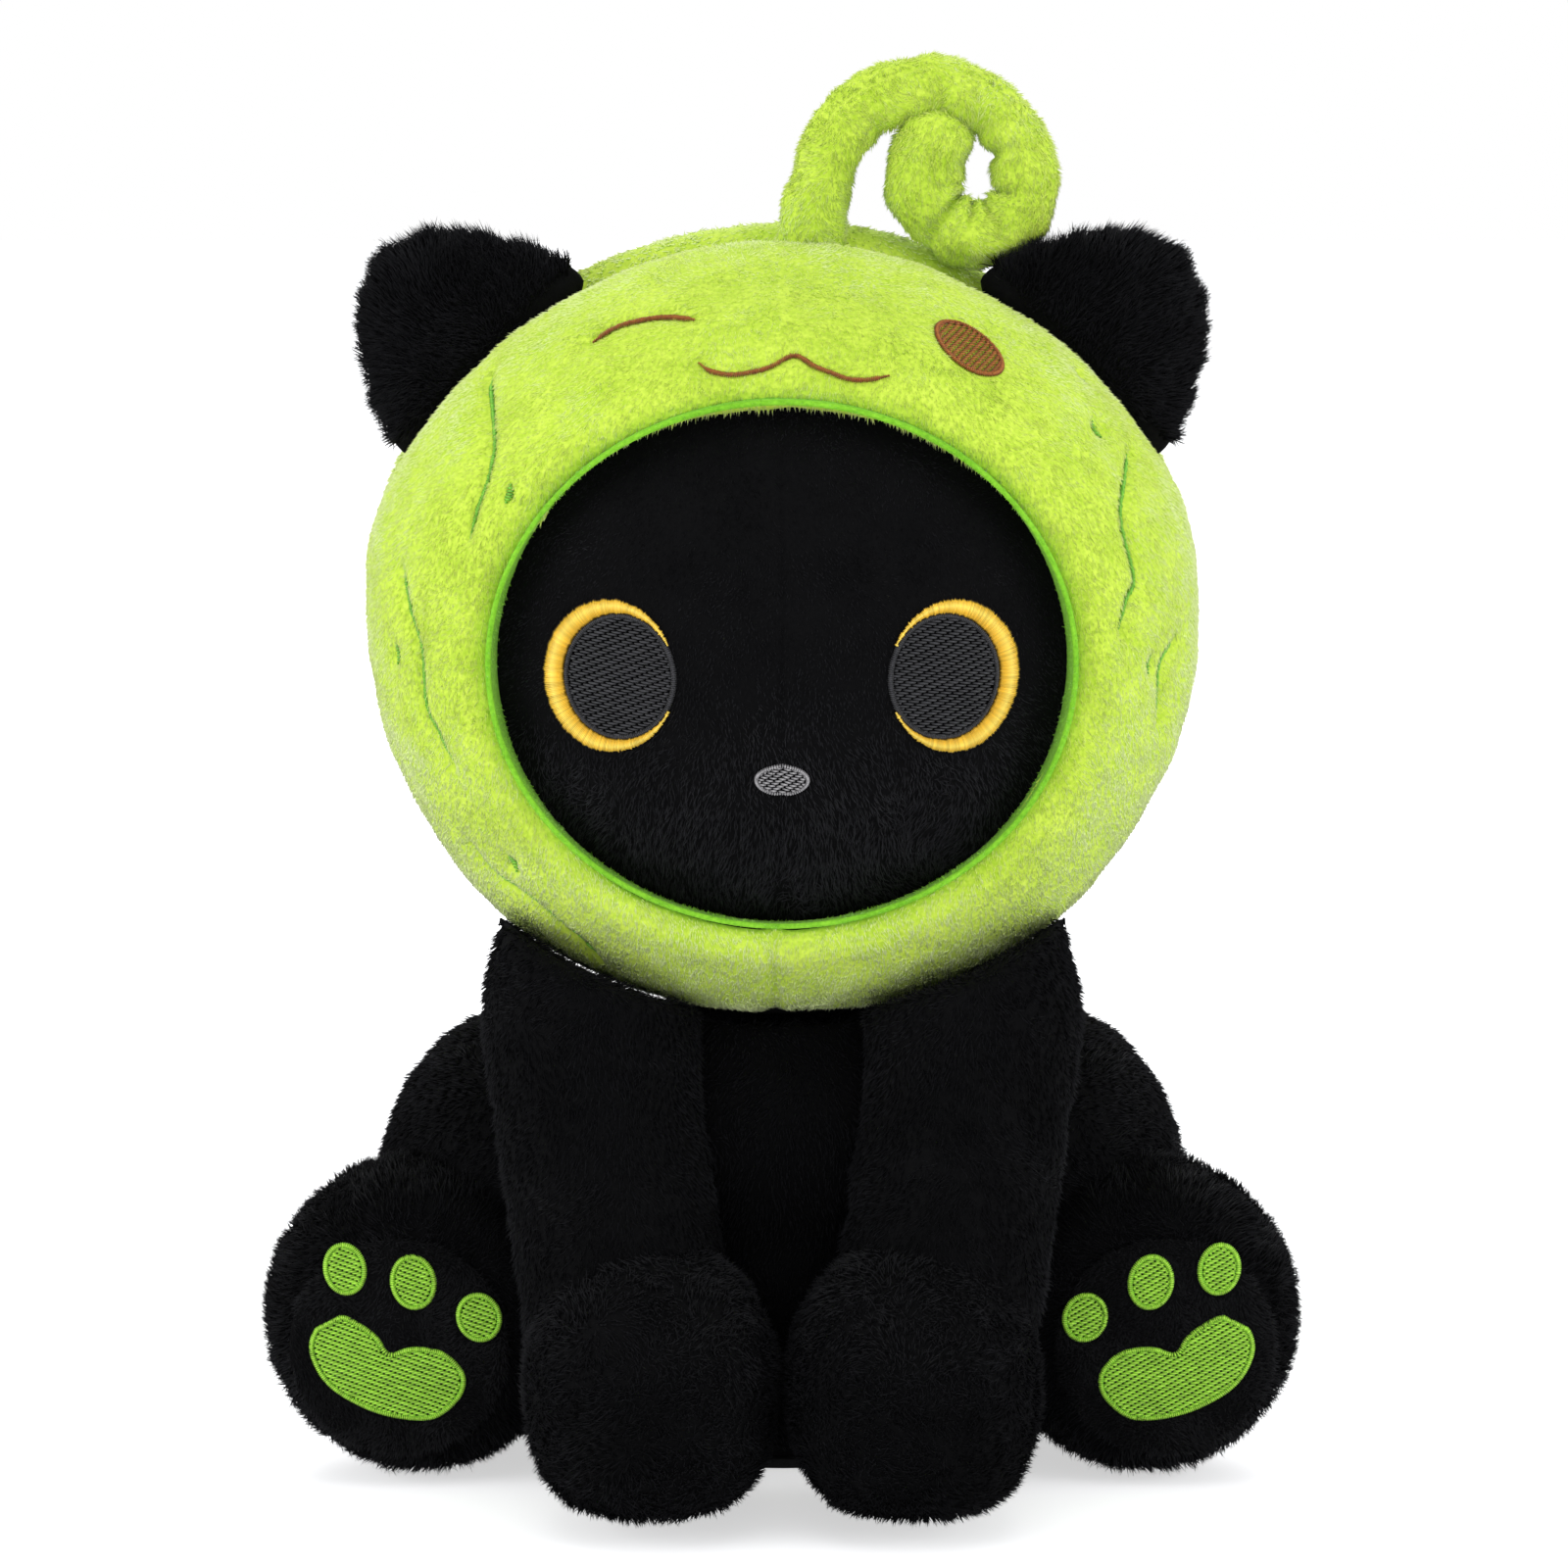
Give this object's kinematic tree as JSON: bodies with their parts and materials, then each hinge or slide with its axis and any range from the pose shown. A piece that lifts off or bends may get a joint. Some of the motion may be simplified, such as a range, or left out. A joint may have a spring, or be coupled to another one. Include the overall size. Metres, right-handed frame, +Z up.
{
  "type": "plush cat",
  "caption": "Seated black plush cat in a padded lime-green hood with an embroidered face and a curled stem; stuffed head, limbs, ears and tail flex at their seams.",
  "frame": {"origin": "centre of the flat seat panel that the toy rests on", "axes": "+Z up, the face looks along -Y, +X to the right as seen from the front"},
  "size_m": [0.223, 0.1949, 0.3035],
  "materials": {
    "lime_plush": "matte",
    "green_facing": "matte",
    "black_short_plush": "matte",
    "black_plush": "matte",
    "green_thread": "matte",
    "yellow_thread": "matte",
    "charcoal_thread": "matte",
    "grey_thread": "matte",
    "brown_thread": "matte",
    "dark_green_thread": "matte",
    "pouch_cloth": "matte",
    "plastic_pellets": "matte",
    "fibre_filling": "matte"
  },
  "bodies": {
    "torso": {"torso_cover": "black_plush", "torso_filling": "fibre_filling", "pellet_pouch": "pouch_cloth", "pellet_filling": "plastic_pellets", "seat_panel": "black_plush"},
    "neck": {"neck_cover": "black_plush", "neck_filling": "fibre_filling"},
    "head": {"eye_pupil_left": "charcoal_thread", "eye_pupil_right": "charcoal_thread", "eye_ring_left": "yellow_thread", "eye_ring_right": "yellow_thread", "face_panel_left": "black_short_plush", "face_panel_right": "black_short_plush", "head_back_panel": "black_short_plush", "head_filling": "fibre_filling", "hood_back_panel": "lime_plush", "hood_facing": "green_facing", "hood_front_panel": "lime_plush", "hood_mouth_stitching": "brown_thread", "hood_padding": "fibre_filling", "hood_rind_lines": "dark_green_thread", "hood_rind_spots": "dark_green_thread", "hood_round_eye_patch": "brown_thread", "hood_wink_stitching": "brown_thread", "nose_patch": "grey_thread"},
    "stem": {"stem_cover": "lime_plush", "stem_filling": "fibre_filling"},
    "tail": {"tail_cover": "black_plush", "tail_filling": "fibre_filling"},
    "ear_left": {"ear_cover_left": "black_plush", "ear_filling_left": "fibre_filling"},
    "front_leg_left": {"front_leg_cover_left": "black_plush", "front_leg_filling_left": "fibre_filling", "front_paw_cover_left": "black_plush", "front_paw_filling_left": "fibre_filling"},
    "hind_leg_left": {"haunch_cover_left": "black_plush", "haunch_filling_left": "fibre_filling", "hind_foot_cover_left": "black_plush", "hind_foot_filling_left": "fibre_filling", "sole_panel_left": "black_short_plush", "sole_main_pad_left": "green_thread", "sole_toe_pads_left": "green_thread"},
    "ear_right": {"ear_cover_right": "black_plush", "ear_filling_right": "fibre_filling"},
    "front_leg_right": {"front_leg_cover_right": "black_plush", "front_leg_filling_right": "fibre_filling", "front_paw_cover_right": "black_plush", "front_paw_filling_right": "fibre_filling"},
    "hind_leg_right": {"haunch_cover_right": "black_plush", "haunch_filling_right": "fibre_filling", "hind_foot_cover_right": "black_plush", "hind_foot_filling_right": "fibre_filling", "sole_panel_right": "black_short_plush", "sole_main_pad_right": "green_thread", "sole_toe_pads_right": "green_thread"}
  },
  "joints": [
    {"name": "head_turn", "type": "hinge", "parent": "torso", "child": "neck", "pos_m": [0, -0.025, 0.103], "axis": [0, 0, 1], "range_deg": [-20, 20], "stiffness_Nm_per_rad": 0.3},
    {"name": "head_nod", "type": "hinge", "parent": "neck", "child": "head", "pos_m": [0, -0.025, 0.1128], "axis": [1, 0, 0], "range_deg": [-10, 4], "stiffness_Nm_per_rad": 1.2},
    {"name": "stem_sway", "type": "hinge", "parent": "head", "child": "stem", "pos_m": [0.0054, -0.022, 0.267], "axis": [0, 1, 0], "range_deg": [-12, 2], "stiffness_Nm_per_rad": 0.05},
    {"name": "tail_swing", "type": "hinge", "parent": "torso", "child": "tail", "pos_m": [0, 0.047, 0.03], "axis": [0, 0, 1], "range_deg": [-13, 13], "stiffness_Nm_per_rad": 0.05},
    {"name": "ear_left_fold", "type": "hinge", "parent": "head", "child": "ear_left", "pos_m": [-0.06203, -0.028, 0.24277], "axis": [0.7132, 0, 0.7009], "range_deg": [-12, 12], "stiffness_Nm_per_rad": 0.04},
    {"name": "front_leg_left_swing", "type": "hinge", "parent": "torso", "child": "front_leg_left", "pos_m": [-0.039, -0.056, 0.088], "axis": [-1, 0, 0], "range_deg": [-3, 30], "stiffness_Nm_per_rad": 0.2},
    {"name": "hind_leg_left_swing", "type": "hinge", "parent": "torso", "child": "hind_leg_left", "pos_m": [-0.0436, 0.002, 0.0485], "axis": [-1, 0, 0], "range_deg": [-3, 25], "stiffness_Nm_per_rad": 0.4},
    {"name": "ear_right_fold", "type": "hinge", "parent": "head", "child": "ear_right", "pos_m": [0.06203, -0.028, 0.24277], "axis": [0.7132, 0, -0.7009], "range_deg": [-12, 12], "stiffness_Nm_per_rad": 0.04},
    {"name": "front_leg_right_swing", "type": "hinge", "parent": "torso", "child": "front_leg_right", "pos_m": [0.039, -0.056, 0.088], "axis": [-1, 0, 0], "range_deg": [-3, 30], "stiffness_Nm_per_rad": 0.2},
    {"name": "hind_leg_right_swing", "type": "hinge", "parent": "torso", "child": "hind_leg_right", "pos_m": [0.0436, 0.002, 0.0485], "axis": [-1, 0, 0], "range_deg": [-3, 25], "stiffness_Nm_per_rad": 0.4}
  ]
}
